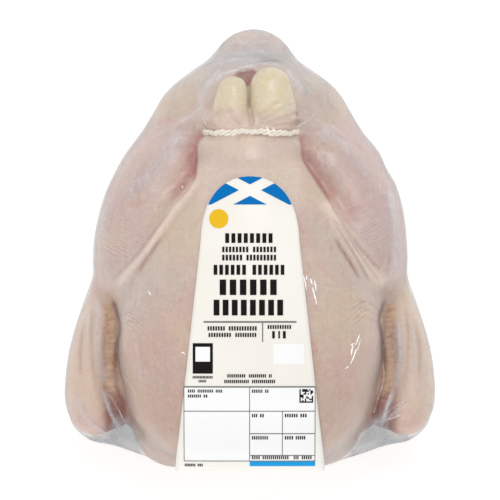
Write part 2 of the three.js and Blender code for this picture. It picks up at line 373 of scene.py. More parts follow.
def trunk(p):
    core = ellipsoid(p, *TORSO)
    for side in (-1, 1):
        core = soft_min(core, limb(p, BREAST, side), CORE_BLEND["breast"])
    core = soft_min(core, limb(p, KEEL), CORE_BLEND["keel"])
    core = soft_min(core, ellipsoid(p, *PELVIS), CORE_BLEND["pelvis"])
    return soft_min(core, ellipsoid(p, *TAIL), CORE_BLEND["tail"])


def leg(p, side, shank, hock, blend):
    thigh = limb(p, LEFT_THIGH if side < 0 else RIGHT_THIGH, side)
    return soft_min(soft_min(thigh, limb(p, shank, side), blend["leg"]), limb(p, hock, side), blend["hock"])


def wing(p, side, blend, bones):
    upper_arm, forearm, hand = bones
    out = soft_min(limb(p, upper_arm, side), limb(p, forearm, side, WING_TALLNESS), blend["wing"])
    return soft_min(out, limb(p, hand, side), blend["wing"])


def skin_relief(p):
    """Folds that stand up and creases that cut in, in millimetres, on the bird's upper side."""
    height = p[:, 2]
    out = sum(line_masks(p, RELIEF_LINES))
    for path, leg_side, depth, width, _, _ in GROOVES:
        out -= depth * groove_mask(p, path, leg_side, width)
    out = out * smooth_step(height, *UPPER_SKIN) - tie_pinch(p) * smooth_step(height, *TIE_SKIN)
    return out + sum(line_masks(p, WING_RELIEF)) * smooth_step(height, *WING_TOP)


def tie_pinch(p):
    """How far the elastic draws the shanks in, most of all at their outer sides."""
    outer = smooth_step(np.abs(p[:, 0] - TIE_MIDDLE_X), *PINCH_OUTER)
    depth = PINCH_DEPTH[0] + PINCH_DEPTH[1] * outer
    width = PINCH_WIDTH[0] + PINCH_WIDTH[1] * outer
    return depth * np.exp(-(((p[:, 1] - TIE_Y) / width) ** 2))


def bird(p):
    """Distance from the bird's skin. Its limbs join closely above and loosely at the flanks."""
    out = soft_min(trunk(p), ellipsoid(p, *RUMP), CORE_BLEND["rump"])
    out = soft_min(out, limb(p, NECK_END), CORE_BLEND["neck"])
    flank = 1.0 - smooth_step(p[:, 2], *UPPER_SKIN)
    blend = {key: tight + (FLANK_BLEND[key] - tight) * flank for key, tight in BIRD_BLEND.items()}
    tight = BIRD_BLEND["wing"]
    shoulder = tight + (blend["wing"] - tight) * smooth_step(p[:, 1], *SHOULDER_RUN)
    for side, knob in ((-1, LEFT_KNOB), (1, RIGHT_KNOB)):
        out = soft_min(out, leg(p, side, SHANK, knob, blend), blend["limb"])
        arm = soft_min(wing(p, side, BIRD_BLEND, BIRD_WING), limb(p, UNDERARM, side), tight)
        out = soft_min(out, arm, shoulder)
    out -= skin_relief(p) + FLANK_SWELL * flank
    return soft_max(out, BIRD_LIFT - p[:, 2], REST_BLEND)


def wrap(p):
    """The film's own form, loosely round the limbs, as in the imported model."""
    out = trunk(p)
    for side, hock in ((-1, LEFT_HOCK), (1, RIGHT_HOCK)):
        out = soft_min(out, leg(p, side, DRUMSTICK, hock, FILM_BLEND), FILM_BLEND["limb"])
        out = soft_min(out, wing(p, side, FILM_BLEND, FILM_WING), FILM_BLEND["limb"])
    out = soft_min(out, ellipsoid(p, *TENT), TENT_BLEND)
    for side in (-1, 1):
        out = soft_min(out, limb(p, CORNER_WEB, side, WEB_TALLNESS), WEB_BLEND)
    return soft_min(out, limb(p, TIE_RIDGE), TIE_BLEND) - FILM_OFFSET


def film(p):
    """Distance from the film: its own form, and never closer to the skin than the gap."""
    return np.maximum(soft_min(wrap(p), bird(p) - FILM_GAP, CLING_BLEND), -p[:, 2])


def grid_indices(shape):
    """Every whole-number place of a grid, one in each row."""
    return np.stack(np.meshgrid(*[np.arange(n) for n in shape], indexing="ij"), -1).reshape(-1, 3)


def doubled(values):
    """The same samples with one more halfway between each pair, along every axis."""
    for axis in range(3):
        v = np.moveaxis(values, axis, 0)
        out = np.empty((2 * v.shape[0] - 1,) + v.shape[1:])
        out[::2] = v
        out[1::2] = (v[:-1] + v[1:]) / 2
        values = np.moveaxis(out, 0, axis)
    return values


GRID_LOW = np.array([-112.0, -132.0, -4.0])
GRID_HIGH = np.array([112.0, 132.0, 124.0])
REFINEMENTS = 2
NEAR_CELLS = 2.2


def sampled(field, step):
    """Field values on a grid, exact near the surface and interpolated elsewhere."""
    coarse = step * 2**REFINEMENTS
    shape = np.ceil((GRID_HIGH - GRID_LOW) / coarse).astype(int) + 1
    values = field(GRID_LOW + grid_indices(shape) * coarse).reshape(shape)
    for level in range(REFINEMENTS):
        spacing = coarse / 2 ** (level + 1)
        values = doubled(values)
        near = np.abs(values) < NEAR_CELLS * spacing
        values[near] = field(GRID_LOW + np.argwhere(near) * spacing)
    return values


def surface_net(values, step):
    """A closed mesh of four-sided faces where the sampled field changes sign: one vertex for each cell."""
    inside = values < 0
    steps = np.eye(3, dtype=int)
    corners = grid_indices((2, 2, 2))
    cells = tuple(n - 1 for n in values.shape)
    total = sum(inside[tuple(slice(s, s + n) for s, n in zip(start, cells))].astype(int) for start in corners)
    active = np.argwhere((total > 0) & (total < 8))
    number = np.full(cells, -1)
    number[tuple(active.T)] = np.arange(len(active))
    middle = np.zeros((len(active), 3))
    crossings = np.zeros(len(active))
    for start in corners:
        for along in steps[start == 0]:
            v0 = values[tuple((active + start).T)]
            v1 = values[tuple((active + start + along).T)]
            cut = (v0 < 0) != (v1 < 0)
            t = np.where(cut, v0 / np.where(cut, v0 - v1, 1.0), 0.0)
            middle += (start + t[:, None] * along) * cut[:, None]
            crossings += cut
    points = GRID_LOW + (active + middle / crossings[:, None]) * step
    faces = []
    for axis in range(3):
        along, b, c = (steps[(axis + k) % 3] for k in range(3))
        lower = inside[tuple(slice(0, n - d) for n, d in zip(values.shape, along))]
        upper = inside[tuple(slice(d, None) for d in along)]
        for turn, crossed in ((1, lower & ~upper), (-1, ~lower & upper)):
            place = np.argwhere(crossed)
            ring = [place - db * b - dc * c for db, dc in ((1, 1), (0, 1), (0, 0), (1, 0))]
            faces.append(np.stack([number[tuple(cell.T)] for cell in ring], 1)[:, ::turn])
    return points, np.vstack(faces)


def slope_of(field, p, here=None, reach=0.25):
    here = field(p) if here is None else here
    return np.stack([field(p + reach * np.eye(3)[a]) - here for a in range(3)], 1) / reach


def fitted_surface(field, step):
    """The net, drawn onto the field's surface, with the field's outward directions."""
    points, faces = surface_net(sampled(field, step), step)
    here = field(points)
    slope = slope_of(field, points, here)
    size = np.linalg.norm(slope, axis=1)
    move = np.clip(here / np.maximum(size, 0.3), -step, step)
    normals = slope / np.maximum(size, 1e-6)[:, None]
    return points - normals * move[:, None], faces, normals


SCALE = (np.array(cad_box[1]) - np.array(cad_box[0])) / NOMINAL_SIZE


def to_metres(points):
    return (np.asarray(points, float) - NOMINAL_LOW) * SCALE + np.array(cad_box[0])


def mesh_object(name, points, faces, materials, attributes=None, inks=None, smooth=True):
    """A mesh piece in metres. inks gives the number of each face's material."""
    mesh = bpy.data.meshes.new(name)
    mesh.from_pydata(to_metres(points).tolist(), [], [tuple(map(int, f)) for f in faces])
    for key, values in (attributes or {}).items():
        mesh.attributes.new(key, "FLOAT", "POINT").data.foreach_set("value", np.asarray(values, np.float32))
    for material in materials:
        mesh.materials.append(material)
    if inks is not None:
        mesh.polygons.foreach_set("material_index", np.asarray(inks, np.int32))
    mesh.polygons.foreach_set("use_smooth", [smooth] * len(mesh.polygons))
    mesh.update()
    piece = bpy.data.objects.new(name, mesh)
    bpy.context.scene.collection.objects.link(piece)
    return piece


# Shading helpers.


def rgb(r, g, b):
    """A colour given as on screen, 0 to 255, as the linear colour that shaders use."""
    c = np.array([r, g, b]) / 255.0
    linear = np.where(c <= 0.04045, c / 12.92, ((c + 0.055) / 1.055) ** 2.4)
    return (*linear.tolist(), 1.0)


class Shader:
    """A material whose nodes are added by short calls."""

    def __init__(self, name):
        self.material = bpy.data.materials.new(name)
        self.material.use_nodes = True
        self.tree = self.material.node_tree
        self.surface = self.tree.nodes["Principled BSDF"]
        self.coordinates = self.tree.nodes.new("ShaderNodeTexCoord").outputs["Object"]

    def put(self, socket, value):
        if isinstance(value, bpy.types.NodeSocket):
            self.tree.links.new(value, socket)
        else:
            socket.default_value = value

    def set(self, **inputs):
        for name, value in inputs.items():
            self.put(self.surface.inputs[name.replace("_", " ")], value)

    def node(self, kind, output, inputs, **settings):
        """Adds a node with these settings and inputs, and returns one of its outputs."""
        node = self.tree.nodes.new(kind)
        for name, value in settings.items():
            setattr(node, name, value)
        for key, value in inputs.items():
            self.put(node.inputs[key], value)
        return node.outputs[output]

    def attribute(self, name):
        return self.node("ShaderNodeAttribute", "Fac", {}, attribute_name=name)

    def noise(self, scale, detail=3.0, roughness=0.55, distortion=0.0, stretch=None):
        place = self.coordinates
        if stretch:
            place = self.node("ShaderNodeMapping", "Vector", {"Scale": stretch, "Vector": place})
        form = {"Scale": scale, "Detail": detail, "Roughness": roughness, "Distortion": distortion}
        return self.node("ShaderNodeTexNoise", "Fac", {"Vector": place, **form})

    def cells(self, scale):
        return self.node("ShaderNodeTexVoronoi", "Distance", {"Scale": scale, "Vector": self.coordinates})

    def math(self, operation, a, b=0.5):
        return self.node("ShaderNodeMath", 0, {0: a, 1: b}, operation=operation)

    def plus(self, a, b):
        return self.math("ADD", a, b)

    def times(self, a, b):
        return self.math("MULTIPLY", a, b)

    def ramp(self, value, start, end, low=0.0, high=1.0):
        limits = {"Value": value, "From Min": start, "From Max": end, "To Min": low, "To Max": high}
        return self.node("ShaderNodeMapRange", "Result", limits, interpolation_type="SMOOTHSTEP")

    def mix(self, factor, a, b):
        return self.node("ShaderNodeMix", 2, {0: factor, 6: a, 7: b}, data_type="RGBA")

    def bump(self, height, strength, distance, normal=None):
        inputs = {"Height": height, "Strength": strength, "Distance": distance}
        if normal is not None:
            inputs["Normal"] = normal
        return self.node("ShaderNodeBump", "Normal", inputs)

    def facing(self):
        return self.node("ShaderNodeLayerWeight", "Facing", {"Blend": 0.5})


# The bird.


# Parts of the skin with a colour of their own; "low" is partly painted shade, and the outer wing is lightened
# as painted light. Each is where all its spans hold. A span names a measure and the two values in millimetres
# between which it sets in. The measure "out" is the distance from the middle.
REGIONS = {
    "hock": [("hock_end", 74, 83), ("z", 70, 78), ("out", 31, 27)],
    "vent": [("vent", 1.0, -1.5)],
    "pit": [("y", -76, -88), ("out", 85, 79), ("out", 62, 70), ("z", 64, 56)],
    "wrist": [("y", -84, -102), ("out", 66, 76)],
    "leg": [("thigh", 58, 66), ("y", -24, -8), ("y", 82, 66)],
    "low": [("y", -10, -100)],
    "belly": [("y", 4, 34), ("out", 34, 25), ("y", 64, 60), ("z", *UPPER_SKIN)],
    "outer_wing_painted_light": [("out", 80, 87), ("y", -20, -34)],
    "shank": [("y", 67, 69), ("z", 72, 80), ("out", 31, 27)],
}
HOCK_SIDE = [("hock_side", 21, 26), ("y", 84, 76)]
WING_INSIDE = [("out", 70, 76), ("out", 87, 82), ("y", -22, -34)]
RIGHT_LEG_RUN = (46, 60)
LEFT_BREAST_SHADE_RUN = (-10, -40)
LOWER_BREAST_RUN = (-54, -74)
RAGGED = (1.6, 9, 3)

# The wing's strip beside the breast: where it sets in and ends, outward from the breast's edge.
STRIP_START = (-0.6, 0.6)
STRIP_END = (9.0, 5.0)

HOLLOW_REACH = 6.0
HOLLOW_START = 0.05

# Fine wrinkles in rings: the rings' middle, their least and greatest radius, the spot where they show and
# how far they show from it, as photograph pixels.
WRINKLE_RINGS = (
    ((168, 168), 40, 122, (120, 244), 26),
    ((330, 168), 44, 122, (378, 232), 25),
    ((376, 336), 8, 50, (354, 308), 22),
    ((112, 352), 12, 60, (136, 322), 18),
)

# The skin's unevenness: height in millimetres, wavelength and seed, and where on the bird it sets in.
SKIN_WAVES = ((0.35, 34, 5), (0.12, 11, 8))
SKIN_SINK = 0.2
UNEVEN_HEIGHT = (3, 12)
UNEVEN_FACING = (0.05, 0.5)


def hollow(p, normals, deep=0.6):
    """1 deep in a crease and 0 on open skin, from the room there is outward of each point."""
    room = np.clip(bird(p + normals * HOLLOW_REACH) / HOLLOW_REACH, 0, 1)
    return smooth_step(1.0 - room, HOLLOW_START, deep)


def wing_strip(p):
    """1 on the strip of wing beside the breast: sharp at the breast's edge and fading outward. Its brown is
    partly the thin skin and partly painted shade.
    """
    strips = []
    for path, outward in zip(WING_LINES, (-1, 1)):
        far, side, share = near_line(p, path)
        past = far * side * outward
        strip = smooth_step(past, *STRIP_START) * smooth_step(past, *STRIP_END)
        strips.append(strip * smooth_step(share, 0, 0.12) * smooth_step(share, 1, 0.85))
    return strongest(strips) * smooth_step(p[:, 2], *WING_TOP)


def within(measures, spans):
    """1 where all the spans hold."""
    return math.prod(smooth_step(measures[name], start, end) for name, start, end in spans)


def skin_masks(p, normals):
    """Where the skin changes colour, from the bird's anatomy."""
    x, y, z = p.T
    out = np.abs(x)
    height, wavelength, seed = RAGGED
    ragged = waves(p, wavelength, seed) * height
    measures = {
        "y": y, "z": z, "out": out, "thigh": out + 0.42 * y,
        "hock_end": y + ragged + 0.08 * x, "hock_side": out + ragged * 0.7,
        "vent": ellipsoid(p, VENT[0], np.array(VENT[1]) + 1.5),
    }
    masks = {name: within(measures, spans) for name, spans in REGIONS.items()}
    masks["hock"] *= 1.0 - within(measures, HOCK_SIDE)
    masks["leg"] *= 1 + 0.3 * smooth_step(x, *RIGHT_LEG_RUN)
    # low: darker and pinker towards the neck end, partly skin tone and partly painted shade where less light
    # falls; darker still on the left breast as painted shade.
    masks["low"] *= 1 + 0.5 * smooth_step(x, *LEFT_BREAST_SHADE_RUN)
    # crease: painted shade, darker where little room lies outward, as in creases and between parts.
    masks["crease"] = hollow(p, normals)
    # gap: the wing's inner crease and the strip beside the breast, coloured brown: partly thin skin, partly
    # painted shade.
    masks["gap"] = np.maximum(0.8 * masks["crease"] * within(measures, WING_INSIDE), wing_strip(p))
    up = smooth_step(z, *UPPER_SKIN)
    # Painted shade beside the grooves, strong at the lip and fading over the leg.
    grooves = (shade_amount * groove_mask(p, path, side, width) for path, side, _, _, shade_amount, width in GROOVES)
    masks["groove_shade"] = strongest(grooves) * up
    masks["line"] = strongest(line_masks(p, PAINTED_SHADE_LINES)) * up
    masks["fold"] = strongest(line_masks(p, PALE_FOLDS)) * up
    # The painted shadow line fades towards the neck end.
    edge_shadows = strongest(line_masks(p, WING_EDGE_SHADOWS)) * (1 - 0.6 * smooth_step(y, *LOWER_BREAST_RUN))
    masks["wing_line_shadow"] = np.maximum(edge_shadows, strongest(line_masks(p, WING_CREASE_SHADES)))
    return masks


def wrinkle_fields(p):
    """Fine skin wrinkles as the distance that their waves run along, and where they show."""
    phase = np.zeros(len(p))
    amount = np.zeros(len(p))
    for middle, inner, outer, spot, spread in WRINKLE_RINGS:
        far = np.linalg.norm(p[:, :2] - plan(middle), axis=1)
        from_spot = np.linalg.norm(p[:, :2] - plan(spot), axis=1)
        pixels = far / MM_PER_PIXEL
        here = smooth_step(pixels, inner, inner + 10) * smooth_step(pixels, outer, outer - 12)
        here *= np.exp(-((from_spot / (spread * MM_PER_PIXEL)) ** 2)) * smooth_step(p[:, 2], 55, 65)
        phase = np.where(here > amount, far, phase)
        amount = np.maximum(amount, here)
    return {"phase": phase, "wrinkle": amount}


def skin_material():
    s = Shader("raw_skin")
    broad = s.noise(26, 3, 0.5)
    patch = s.noise(62, 4, 0.6, 0.4)
    fine = s.noise(340, 4, 0.65)
    veins = s.noise(110, 5, 0.7, 1.2, (1.0, 0.45, 1.0))
    hairs = s.noise(260, 3, 0.6, 0.8, (0.45, 1.8, 1.0))
    bend = s.plus(s.times(patch, 15.0), s.times(veins, 9.0))
    folds = s.math("SINE", s.plus(s.times(s.attribute("phase"), 3.0), bend))
    folds = s.times(s.times(folds, s.attribute("wrinkle")), s.ramp(veins, 0.36, 0.54))
    hairy_strip_and_shade = s.mix(s.ramp(hairs, 0.35, 0.65), rgb(212, 178, 146), rgb(186, 142, 108))
    yellow = s.mix(s.ramp(s.noise(120, 3, 0.6), 0.3, 0.7), rgb(226, 212, 168), rgb(230, 219, 190))

    def part(name, amount):
        return s.times(s.attribute(name), amount)

    base = s.mix(s.ramp(broad, 0.4, 0.6), rgb(212, 192, 171), rgb(211, 178, 169))
    layers = (
        (s.ramp(s.noise(13, 2, 0.5), 0.42, 0.62, 0.0, 0.8), rgb(203, 189, 177)),
        (s.ramp(patch, 0.42, 0.7, 0.0, 0.5), rgb(220, 200, 178)),
        # Partly pinker skin, partly painted shade towards the neck end.
        (part("low", 0.55), rgb(196, 164, 146)),
        (part("leg", 0.62), rgb(202, 178, 174)),
        (s.ramp(veins, 0.52, 0.7, 0.0, 0.5), rgb(194, 146, 134)),
        (part("belly", 0.75), rgb(227, 208, 192)),
        # Painted shade in creases and between parts.
        (part("crease", 0.4), rgb(182, 138, 118)),
        # Painted light: the outer wing lightened to make up for the less light that reaches it low down.
        (part("outer_wing_painted_light", 0.6), rgb(228, 208, 190)),
        # Painted shade in the grooves between the belly and the legs.
        (part("groove_shade", 0.88), rgb(184, 120, 110)),
        (part("fold", 0.85), rgb(236, 217, 202)),
        # Painted shade along the crease lines.
        (part("line", 0.75), rgb(148, 98, 84)),
        # Brown wing strip and inner crease: partly thin hairy skin, partly painted shade.
        (part("gap", 0.85), hairy_strip_and_shade),
        (part("wrist", 0.5), rgb(208, 162, 152)),
        # Painted shadow where the breast overlaps the wing, and painted shade in the wing's creases.
        (part("wing_line_shadow", 0.92), rgb(112, 64, 46)),
        (part("pit", 0.9), rgb(146, 84, 68)),
        (part("shank", 0.7), rgb(228, 208, 190)),
        (part("hock", 0.85), yellow),
        (part("vent", 0.85), rgb(156, 92, 86)),
        (s.ramp(fine, 0.46, 0.74, 0.0, 0.24), rgb(238, 222, 206)),
        (s.ramp(s.noise(460, 5, 0.75), 0.48, 0.72, 0.0, 0.27), rgb(182, 138, 120)),
        # Painted highlight on the fine wrinkles' crests and painted shade in their troughs.
        (s.ramp(folds, 0.1, 0.9, 0.0, 0.26), rgb(238, 222, 206)),
        (s.ramp(folds, -0.1, -0.9, 0.0, 0.14), rgb(176, 136, 120)),
    )
    for amount, colour in layers:
        base = s.mix(amount, base, colour)
    normal = s.bump(broad, 0.35, 0.004)
    normal = s.bump(fine, 0.35, 0.0006, normal)
    normal = s.bump(s.ramp(s.cells(420), 0.0, 0.5), 0.18, 0.0004, normal)
    normal = s.bump(folds, 0.2, 0.0003, normal)
    s.set(Base_Color=base, Roughness=s.ramp(fine, 0.3, 0.7, 0.34, 0.5), Normal=normal)
    s.set(Subsurface_Weight=0.22, Subsurface_Radius=(1.0, 0.5, 0.35), Subsurface_Scale=0.003)
    s.set(Specular_IOR_Level=0.45, Coat_Weight=0.18, Coat_Roughness=0.22)
    return s.material


def build_bird():
    points, faces, normals = fitted_surface(bird, BIRD_STEP)
    masks = {**skin_masks(points, normals), **wrinkle_fields(points)}
    relief = sum(height * waves(points, length, seed) for height, length, seed in SKIN_WAVES) - SKIN_SINK
    relief *= smooth_step(points[:, 2], *UNEVEN_HEIGHT) * smooth_step(normals[:, 2], *UNEVEN_FACING)
    piece = mesh_object("chicken", points + normals * relief[:, None], faces, [skin_material()], masks)
    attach(piece, "root")
    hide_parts("bagged_chicken")


# The elastic that ties the hocks: strands twisted round each other, in a loop round both shanks.

TIE_STRANDS = 3
TIE_STRAND_RADIUS = 0.9
TIE_TWISTS = 12
TIE_STEPS = 420
TIE_SIDES = 8
TIE_LIFT = 1.0
TIE_DEPTH = 0.55
TIE_JOIN = 4

# How rays find a surface: most rounds, share of the distance per round, longest step and closeness.
HIT_ROUNDS = 60
HIT_SHARE = 0.85
HIT_STEP = 12.0
HIT_CLOSE = 0.004


def shanks(p):
    """Distance from the two shanks with their knobs, drawn in by the elastic."""
    left, right = (
        soft_min(limb(p, SHANK, side), limb(p, knob, side), BIRD_BLEND["hock"])
        for side, knob in ((-1, LEFT_KNOB), (1, RIGHT_KNOB))
    )
    return soft_min(left, right, TIE_JOIN) + tie_pinch(p)


def hull(points):
    """The corners of the tightest outward-curving ring round plan points, in turning order."""
    order = sorted(map(tuple, points))
    ring = []
    for run in (order, order[::-1]):
        part = []
        for q in run:
            while len(part) > 1 and np.cross(np.subtract(part[-1], part[-2]), np.subtract(q, part[-1])) <= 0:
                part.pop()
            part.append(q)
        ring += part[:-1]
    return np.array(ring)


def tie_loop():
    """The taut ring round both shanks, evenly spaced, with its outward directions."""
    x, z = np.meshgrid(np.arange(-45, 45, 0.7), np.arange(72, 104, 0.7))
    section = np.stack([x.ravel(), np.full(x.size, TIE_Y), z.ravel()], 1)
    ring = hull(section[shanks(section) < 0][:, [0, 2]])
    ring = np.vstack([ring, ring[:1]])
    run = np.concatenate([[0], np.cumsum(np.linalg.norm(np.diff(ring, axis=0), axis=1))])
    at = np.linspace(0, run[-1], TIE_STEPS, endpoint=False)
    ring = np.stack([np.interp(at, run, ring[:, k]) for k in (0, 1)], 1)
    for _ in range(30):
        ring = (np.roll(ring, 1, 0) + ring + np.roll(ring, -1, 0)) / 3
    ahead = np.roll(ring, -1, 0) - np.roll(ring, 1, 0)
    out = np.stack([ahead[:, 1], np.zeros(TIE_STEPS), -ahead[:, 0]], 1)
    return np.stack([ring[:, 0], np.full(TIE_STEPS, TIE_Y), ring[:, 1]], 1), unit(out)


def outer_hits(field, origins, outward, level, reach):
    """The outermost points at a level outside a field, on rays that leave inner origins."""
    p = origins + outward * reach
    for _ in range(HIT_ROUNDS):
        step = np.minimum((field(p) - level) * HIT_SHARE, HIT_STEP)
        p = p - outward * step[:, None]
        if np.abs(step).max() < HIT_CLOSE:
            break
    return p


def tube(path, radius, sides):
    """Points and faces of a closed ring of tube along a closed path."""
    ahead = unit(np.roll(path, -1, 0) - np.roll(path, 1, 0))
    side = unit(np.cross(ahead, [0.0, 1.0, 0.0]))
    lift = np.cross(side, ahead)
    turn = np.linspace(0, 2 * math.pi, sides, endpoint=False)
    ring = np.cos(turn)[None, :, None] * side[:, None] + np.sin(turn)[None, :, None] * lift[:, None]
    points = (path[:, None] + radius[:, None, None] * ring).reshape(-1, 3)
    count = len(path)
    i = np.repeat(np.arange(count), sides)
    j = np.tile(np.arange(sides), count)
    after, beside = (i + 1) % count, (j + 1) % sides
    return points, np.stack([i * sides + j, after * sides + j, after * sides + beside, i * sides + beside], 1)


def tie_material():
    s = Shader("cream_elastic")
    weave = s.noise(1400, 3, 0.6, 0.0, (0.35, 1.0, 1.0))
    base = s.mix(s.ramp(weave, 0.35, 0.65), rgb(250, 236, 218), rgb(255, 249, 238))
    s.set(Base_Color=base, Roughness=0.5, Normal=s.bump(weave, 0.5, 0.0004))
    s.set(Subsurface_Weight=0.2, Subsurface_Radius=(1.0, 0.8, 0.6), Subsurface_Scale=0.001, Coat_Weight=0.2)
    return s.material


def build_tie():
    angle = np.linspace(0, 2 * math.pi, TIE_STEPS, endpoint=False)
    loop, outward = tie_loop()
    across = np.array([0.0, 1.0, 0.0])
    loop += across * (0.5 * np.sin(angle * 3 + 0.6) + 0.25 * np.sin(angle * 11))[:, None]
    spread = 0.95 + 0.25 * np.sin(angle * 5 + 1.0)
    all_points = []
    all_faces = []
    for strand in range(TIE_STRANDS):
        turn = angle * TIE_TWISTS + 2 * math.pi * strand / TIE_STRANDS
        path = loop + outward * (TIE_LIFT + TIE_DEPTH * np.sin(turn))[:, None]
        path = path + across * (spread * np.cos(turn))[:, None]
        thickness = TIE_STRAND_RADIUS * (1 + 0.15 * np.sin(angle * 23 + strand))
        points, faces = tube(path, thickness, TIE_SIDES)
        all_faces.append(faces + sum(len(q) for q in all_points))
        all_points.append(points)
    piece = mesh_object("tie", np.vstack(all_points), np.vstack(all_faces), [tie_material()])
    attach(piece, "root")
    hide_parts("bagged_chicken")


# The film.

# Soft pale streaks where the film is pulled or doubled, partly painted sheen where light catches it:
# photograph pixels, width in mm and strength.
STREAKS = [
    ([(186, 128), (165, 157), (145, 178), (125, 198)], 4.4, 0.5),
    ([(170, 140), (150, 166), (135, 186)], 2.6, 0.35),
    ([(112, 200), (104, 220), (101, 236)], 3.0, 0.35),
    ([(322, 126), (338, 142), (356, 158), (370, 180)], 4.0, 0.36),
    ([(388, 186), (391, 210), (394, 248), (390, 284)], 3.0, 0.45),
    ([(219, 76), (232, 72), (250, 67), (264, 64), (286, 66)], 1.2, 0.7),
    ([(204, 86), (215, 80), (224, 75)], 2.2, 0.5),
    ([(222, 49), (237, 54), (257, 52), (280, 55)], 1.8, 0.6),
    ([(218, 63), (236, 60), (256, 60), (284, 64)], 2.2, 0.55),
    ([(228, 40), (246, 43), (270, 41)], 2.4, 0.5),
    ([(254, 40), (251, 64)], 1.8, 0.4),
    ([(285, 70), (297, 84), (307, 96)], 2.0, 0.5),
    ([(220, 66), (206, 87), (202, 104), (209, 122)], 1.8, 0.45),
    ([(176, 124), (190, 117), (204, 106)], 1.6, 0.4),
    ([(97, 295), (99, 330), (100, 362), (104, 385)], 2.8, 0.5),
    ([(90, 305), (87, 342), (89, 370)], 1.2, 0.3),
    ([(76, 398), (88, 420), (106, 434)], 1.6, 0.3),
    ([(102, 388), (108, 405), (116, 422), (121, 432)], 1.4, 0.7),
    ([(398, 318), (400, 346), (398, 374), (394, 390)], 2.8, 0.5),
    ([(412, 328), (415, 350), (414, 372)], 1.2, 0.3),
    ([(395, 388), (386, 410), (379, 427)], 1.6, 0.7),
    ([(372, 424), (390, 416), (408, 402)], 1.6, 0.5),
    ([(136, 338), (140, 362), (141, 382)], 0.9, 0.3),
]

# Sharp creases of the film, as photograph pixels, with widths in mm.
CREASES = [
    (0.8, [(219, 76), (232, 72), (250, 67), (262, 64), (280, 65)]),
    (0.6, [(231, 73), (247, 71), (261, 65)]),
    (0.6, [(225, 57), (250, 60), (270, 57)]),
    (0.5, [(222, 50), (237, 54), (257, 52)]),
    (0.6, [(285, 70), (295, 82), (305, 94)]),
    (0.6, [(289, 68), (307, 80), (325, 94)]),
    (0.6, [(295, 129), (307, 121), (319, 111)]),
    (0.5, [(270, 109), (287, 107), (310, 114)]),
    (0.5, [(200, 114), (207, 127)]),
    (0.6, [(175, 124), (190, 117), (202, 107)]),
    (0.5, [(172, 148), (150, 172), (130, 192)]),
    (0.6, [(320, 122), (328, 132), (338, 138)]),
    (0.6, [(388, 186), (390, 204), (393, 224), (394, 248)]),
    (0.6, [(97, 297), (99, 330), (100, 362), (104, 384)]),
    (0.5, [(90, 307), (87, 342), (89, 366)]),
    (0.9, [(101, 387), (107, 405), (115, 422), (120, 431)]),
    (0.6, [(107, 391), (119, 410), (126, 427)]),
    (0.5, [(77, 402), (88, 420), (105, 434)]),
    (0.6, [(119, 362), (125, 377), (135, 392), (137, 408)]),
    (0.5, [(135, 435), (142, 445), (159, 456)]),
    (0.5, [(111, 440), (125, 445), (141, 454)]),
    (0.6, [(398, 320), (400, 346), (398, 374), (394, 389)]),
    (0.5, [(412, 330), (415, 350), (414, 369)]),
    (0.9, [(394, 387), (388, 402), (382, 419)]),
    (0.6, [(396, 390), (386, 410), (380, 425)]),
    (0.6, [(373, 422), (390, 419), (406, 411)]),
    (0.6, [(377, 427), (390, 410), (407, 399)]),
    (0.6, [(382, 357), (384, 378), (377, 402), (374, 413)]),
]

# Painted highlights: short bright glints on tight wrinkles, which glow.
GLINTS = [
    (0.7, [(266, 127), (268, 131), (270, 136)]),
    (0.5, [(273, 128), (274, 132)]),
    (0.6, [(303, 275), (305, 283), (306, 290)]),
    (0.5, [(306, 275), (306.4, 280)]),
    (0.7, [(310, 278), (311, 281), (312, 285)]),
    (0.8, [(312, 287), (313.4, 292), (314.6, 298)]),
    (0.7, [(314, 280), (315, 285), (315.8, 291)]),
    (0.6, [(314, 294), (315.4, 299), (316, 305)]),
    (0.7, [(359.4, 334), (357.4, 339), (355, 345)]),
    (0.5, [(360, 339), (358.6, 345), (357, 350)]),
    (0.9, [(352.6, 344), (351.6, 349), (351, 355)]),
    (0.9, [(356, 348), (354.4, 353), (352.4, 359)]),
    (0.7, [(354, 354), (352, 359), (350, 364)]),
    (0.5, [(350, 345), (352, 343.6), (354.4, 342.4)]),
    (0.5, [(348.4, 365.6), (346.6, 367), (345, 367.8)]),
    (0.6, [(181.6, 351.4), (183.6, 352), (185.6, 353.6)]),
    (0.5, [(149, 291), (150.4, 293.4), (151.4, 295)]),
    (0.5, [(182.4, 186), (183, 188.4)]),
]


# Where the film's looks set in: by its distance from the skin, place along the bird, facing and height.
GAP_SPAN = (1.0, 7.0)
WEB_SPAN = (2.0, 5.0)
WEB_RUN = (-92, -101)
TAIL_RUN = (99, 108)
TAIL_VEIL = 0.24
VEIL_FACING = (-0.1, 0.25)
RIDGE_SPAN = (10, 25)
RIDGE_HEIGHT = 0.3
OPEN_DEPTH = 0.35


def film_masks(p, normals):
    """Where the film stands off the bird, is milky, or lies in a crease; "open" keeps the painted rim out of
    creases.
    """
    gap = bird(p)
    veil = strongest(strength * line_mask(p, pixels, width) for pixels, width, strength in STREAKS)
    veil *= smooth_step(normals[:, 2], *VEIL_FACING)
    return {
        "gap": smooth_step(gap, *GAP_SPAN),
        "web": smooth_step(gap, *WEB_SPAN) * smooth_step(p[:, 1], *WEB_RUN),
        "veil": np.maximum(veil, TAIL_VEIL * smooth_step(p[:, 1], *TAIL_RUN)),
        "open": 1.0 - hollow(p, normals, OPEN_DEPTH),
    }


def film_lines(s, scale, stretch):
    """Thin curving lines, where stretched noise passes its middle value."""
    noise = s.noise(scale, 3, 0.55, 1.4, stretch)
    return s.ramp(s.math("ABSOLUTE", s.math("SUBTRACT", noise, 0.5)), 0.0, 0.018, 1.0, 0.0)


